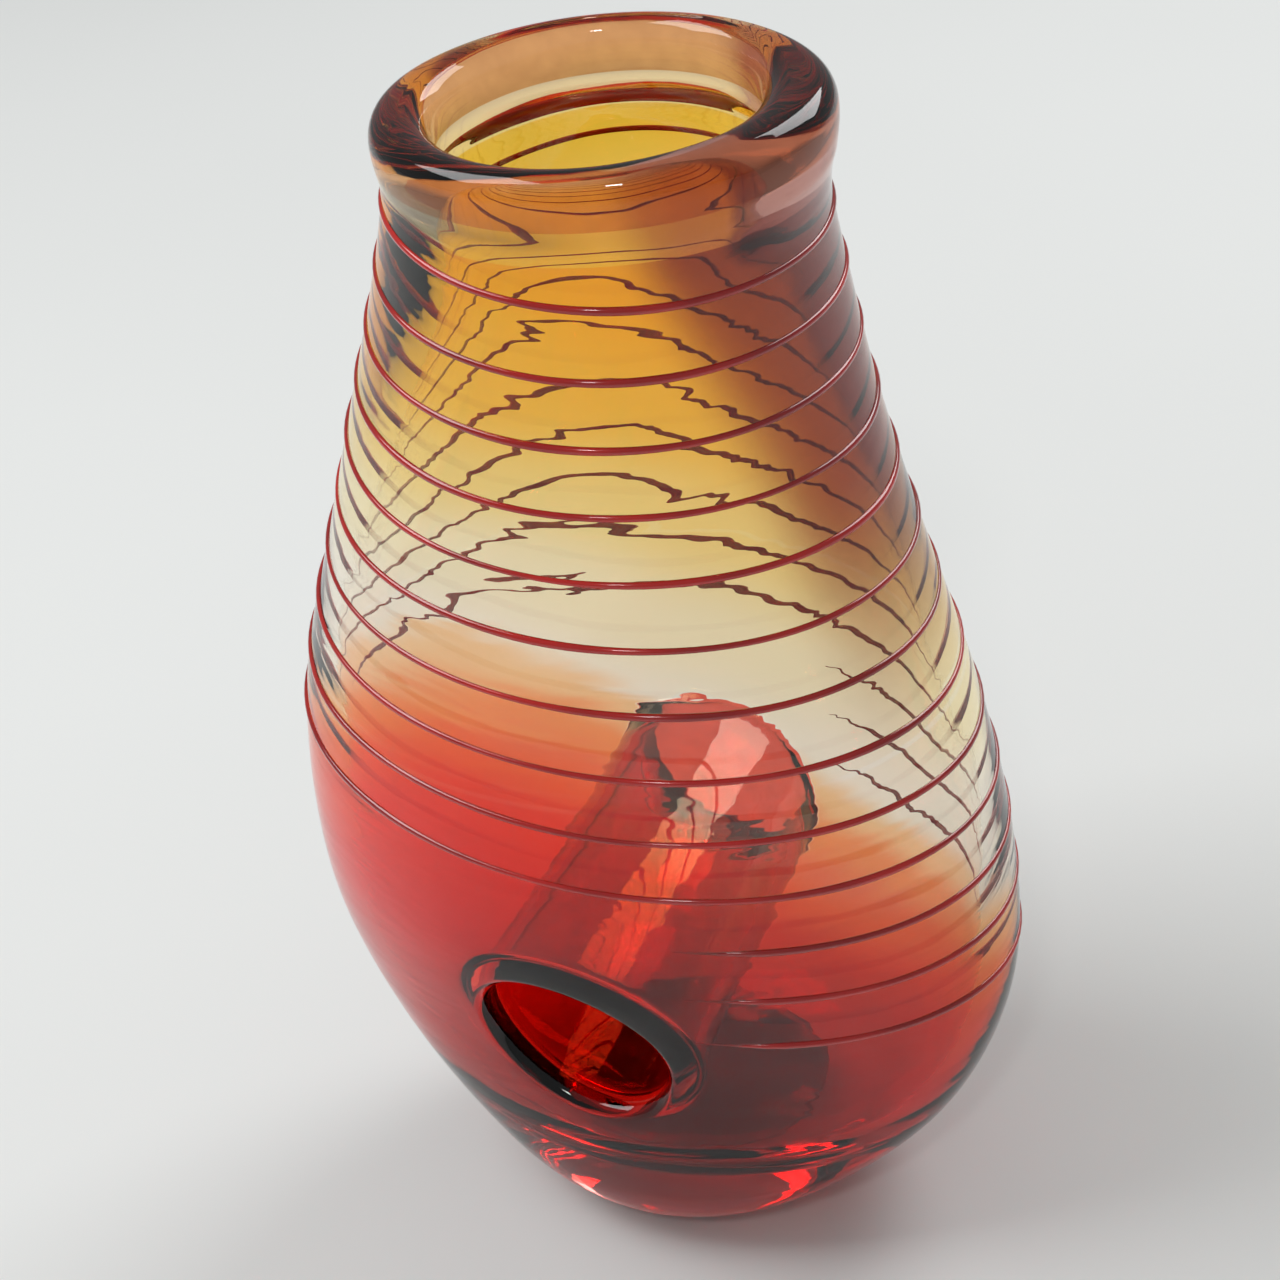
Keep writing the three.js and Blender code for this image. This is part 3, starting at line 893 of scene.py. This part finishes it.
def glass(name, ior, colour_power, roughness, cords, plain=None):
    """A glass whose colour is the blown colour, its painted shade strip included, raised to a power, or a
    plain colour that the skin's mark varies a little. The ior of an overlay is 1, because it touches glass
    on both sides."""
    material = bpy.data.materials.new(name)
    material.use_nodes = True
    tree = material.node_tree
    shader = tree.nodes["Principled BSDF"]
    shader.inputs["Transmission Weight"].default_value = 1.0
    shader.inputs["IOR"].default_value = ior
    shader.inputs["Specular IOR Level"].default_value = 0.18
    shader.inputs["Roughness"].default_value = roughness
    place = tree.nodes.new("ShaderNodeTexCoord")
    skin = tree.nodes.new("ShaderNodeGroup")
    skin.node_tree = hot_skin
    skin.inputs["Cords"].default_value = cords
    tree.links.new(place.outputs["Object"], skin.inputs["Vector"])
    if plain is None:
        colour = tree.nodes.new("ShaderNodeGroup")
        colour.node_tree = blown_and_shade_colour
        tree.links.new(place.outputs["Object"], colour.inputs["Vector"])
        strength = tree.nodes.new("ShaderNodeGamma")
        strength.inputs["Gamma"].default_value = colour_power
        tree.links.new(colour.outputs["Colour"], strength.inputs["Color"])
        tree.links.new(strength.outputs[0], shader.inputs["Base Color"])
    else:
        mix = tree.nodes.new("ShaderNodeMix")
        mix.data_type = "RGBA"
        tree.links.new(skin.outputs["Mark"], mix.inputs["Factor"])
        mix.inputs["A"].default_value = (*[c * 0.8 for c in plain], 1)
        mix.inputs["B"].default_value = (*[min(c * 1.2, 1) for c in plain], 1)
        tree.links.new(mix.outputs["Result"], shader.inputs["Base Color"])
    if cords:
        bump = node(tree, "ShaderNodeBump", Strength=0.12, Distance=0.0016)
        tree.links.new(skin.outputs["Height"], bump.inputs["Height"])
        tree.links.new(bump.outputs[0], shader.inputs["Normal"])
    return material


def dress(piece, material):
    """Gives a piece its one material."""
    piece.data.materials.clear()
    piece.data.materials.append(material)


dress(wall_glass, glass("clear casing glass", 1.5, 0.5, 0.0, 1.0))
overlay_material = glass("overlay glass", 1.0, 0.5, 0.0, 0.0)
dress(amber_glass, overlay_material)
dress(ruby_glass, overlay_material)
dress(tunnel_glass, glass("tunnel glass", 1.0, 1.0, 0.0, 0.0, plain=(0.82, 0.10, 0.07)))
dress(lip_glass, glass("lip glass", 1.0, 1.0, 0.0, 0.0, plain=(0.92, 0.56, 0.34)))
dress(foot_glass, glass("ground foot glass", 1.5, 1.0, 0.28, 0.6, plain=(0.75, 0.08, 0.05)))

# %% [markdown]
# The thread's glass is so strongly coloured that light hardly gets through it. It is a solid red under a
# clear wet gloss, brighter where it was pulled thin.

# %% The thread's glass
def thread_material():
    """Deep red with a slow change along the thread, and a coat for the gloss."""
    material = bpy.data.materials.new("thread glass")
    material.use_nodes = True
    tree = material.node_tree
    shader = tree.nodes["Principled BSDF"]
    shader.inputs["Roughness"].default_value = 0.12
    shader.inputs["Coat Weight"].default_value = 0.6
    shader.inputs["Coat Roughness"].default_value = 0.03
    place = tree.nodes.new("ShaderNodeTexCoord")
    noise = node(tree, "ShaderNodeTexNoise", Scale=34.0, Detail=2.0)
    tree.links.new(place.outputs["Object"], noise.inputs["Vector"])
    ramp = tree.nodes.new("ShaderNodeValToRGB")
    ramp.color_ramp.elements[0].position = 0.35
    ramp.color_ramp.elements[0].color = (0.30, 0.006, 0.006, 1)
    ramp.color_ramp.elements[1].position = 0.68
    ramp.color_ramp.elements[1].color = (0.58, 0.014, 0.010, 1)
    tree.links.new(noise.outputs[0], ramp.inputs[0])
    tree.links.new(ramp.outputs[0], shader.inputs["Base Color"])
    return material


thread_red = thread_material()
for piece in threads:
    dress(piece, thread_red)

# %% [markdown]
# Glass shows what is around it, so the room matters as much as the glass. A pale floor and a pale
# surround fill it with light, and one large soft lamp from the left gives the shadow and the long
# highlight. A smaller lamp behind makes the floor glow through the colour.

# %% Floor, lights and camera
def floor_material():
    """Pale matt board with the faintest mottle."""
    material = bpy.data.materials.new("pale floor")
    material.use_nodes = True
    tree = material.node_tree
    shader = tree.nodes["Principled BSDF"]
    shader.inputs["Roughness"].default_value = 0.6
    shader.inputs["Specular IOR Level"].default_value = 0.2
    place = tree.nodes.new("ShaderNodeTexCoord")
    noise = node(tree, "ShaderNodeTexNoise", Scale=3.0, Detail=2.0)
    tree.links.new(place.outputs["Object"], noise.inputs["Vector"])
    ramp = tree.nodes.new("ShaderNodeValToRGB")
    ramp.color_ramp.elements[0].color = (0.78, 0.79, 0.78, 1)
    ramp.color_ramp.elements[1].color = (0.83, 0.84, 0.83, 1)
    tree.links.new(noise.outputs[0], ramp.inputs[0])
    tree.links.new(ramp.outputs[0], shader.inputs["Base Color"])
    return material


def pale_floor():
    """A square of pale board, with one face."""
    half = 3.0
    mesh = bpy.data.meshes.new("floor")
    corners = [(-half, -half, 0), (half, -half, 0), (half, half, 0), (-half, half, 0)]
    mesh.from_pydata(corners, [], [(0, 1, 2, 3)])
    floor = bpy.data.objects.new("floor", mesh)
    bpy.context.scene.collection.objects.link(floor)
    floor.data.materials.append(floor_material())
    return floor


floor = pale_floor()


def aim(thing, place, target):
    """Puts a lamp or camera at a place and turns it to look at the target."""
    thing.location = place
    thing.rotation_mode = "QUATERNION"
    thing.rotation_quaternion = (Vector(target) - Vector(place)).to_track_quat("-Z", "Y")


def soft_lamp(name, place, size, power, target=(0, 0, 0.14)):
    """A square area lamp."""
    data = bpy.data.lights.new(name, "AREA")
    data.size = size
    data.energy = power
    lamp = bpy.data.objects.new(name, data)
    bpy.context.scene.collection.objects.link(lamp)
    aim(lamp, place, target)
    return lamp


soft_lamp("key lamp", (-1.0, -0.3, 1.5), 1.0, 17)
soft_lamp("back lamp", (0.5, 1.3, 1.3), 0.9, 13)
soft_lamp("small lamp", (0.25, -0.9, 1.2), 0.12, 1.6)

world = bpy.data.worlds.new("pale surround")
world.use_nodes = True
world.node_tree.nodes["Background"].inputs["Color"].default_value = (0.62, 0.64, 0.64, 1)
world.node_tree.nodes["Background"].inputs["Strength"].default_value = 0.45
bpy.context.scene.world = world
bpy.context.scene.view_settings.view_transform = "Standard"
bpy.context.scene.cycles.max_bounces = 32
bpy.context.scene.cycles.transmission_bounces = 32
bpy.context.scene.cycles.transparent_max_bounces = 16

camera_data = bpy.data.cameras.new("camera")
camera_data.lens = 69.1
camera_data.sensor_width = 36
camera = bpy.data.objects.new("camera", camera_data)
bpy.context.scene.collection.objects.link(camera)
aim(camera, (0.2013, -0.4047, 0.4790), (-0.0019, 0.0051, 0.1489))
camera.rotation_quaternion = camera.rotation_quaternion @ Quaternion((0, 0, 1), math.radians(-8.75))
bpy.context.scene.camera = camera
